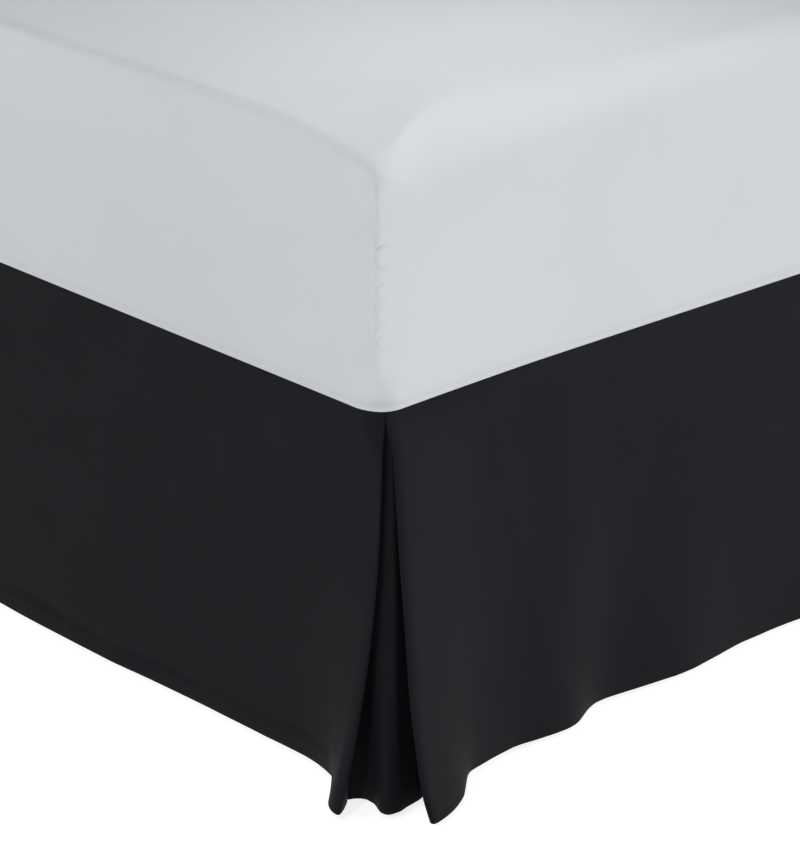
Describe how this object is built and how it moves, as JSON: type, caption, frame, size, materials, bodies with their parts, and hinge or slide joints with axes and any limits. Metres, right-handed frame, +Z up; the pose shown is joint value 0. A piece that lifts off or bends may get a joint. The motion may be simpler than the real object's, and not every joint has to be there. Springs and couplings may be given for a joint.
{
  "type": "bed skirt on a bed",
  "caption": "Tailored dark bed skirt with split, pleat-backed foot corners, hanging to the floor round a plain bed: mattress, box spring, rail frame and legs",
  "frame": {"origin": "on the floor under the middle of the bed, in the underside of the centre leg", "axes": "+Z up, +Y from the foot of the bed to its head, +X across the bed towards its right side seen from the foot"},
  "size_m": [1.6734, 2.0867, 0.6431],
  "materials": {
    "skirt_cloth": "charcoal black brushed microfibre, matt with a faint sheen",
    "deck_cloth": "plain off-white platform cloth",
    "sheet_cloth": "smooth pale grey-white fitted sheet",
    "ticking": "plain woven cover",
    "painted_steel": "dark powder coat",
    "leg_plastic": "black moulded plastic"
  },
  "bodies": {
    "root": {"skirt_deck": "deck_cloth", "skirt_foot_drop": "skirt_cloth", "skirt_side_drop_right": "skirt_cloth", "skirt_side_drop_left": "skirt_cloth", "skirt_underlay_right": "skirt_cloth", "skirt_underlay_left": "skirt_cloth", "mattress": "sheet_cloth", "box_spring": "ticking", "side_rail_right": "painted_steel", "side_rail_left": "painted_steel", "cross_rail_foot": "painted_steel", "cross_rail_middle": "painted_steel", "cross_rail_head": "painted_steel", "leg_foot_right": "leg_plastic", "leg_foot_left": "leg_plastic", "leg_middle_right": "leg_plastic", "leg_middle_left": "leg_plastic", "leg_head_right": "leg_plastic", "leg_head_left": "leg_plastic", "leg_centre": "leg_plastic"}
  },
  "joints": []
}
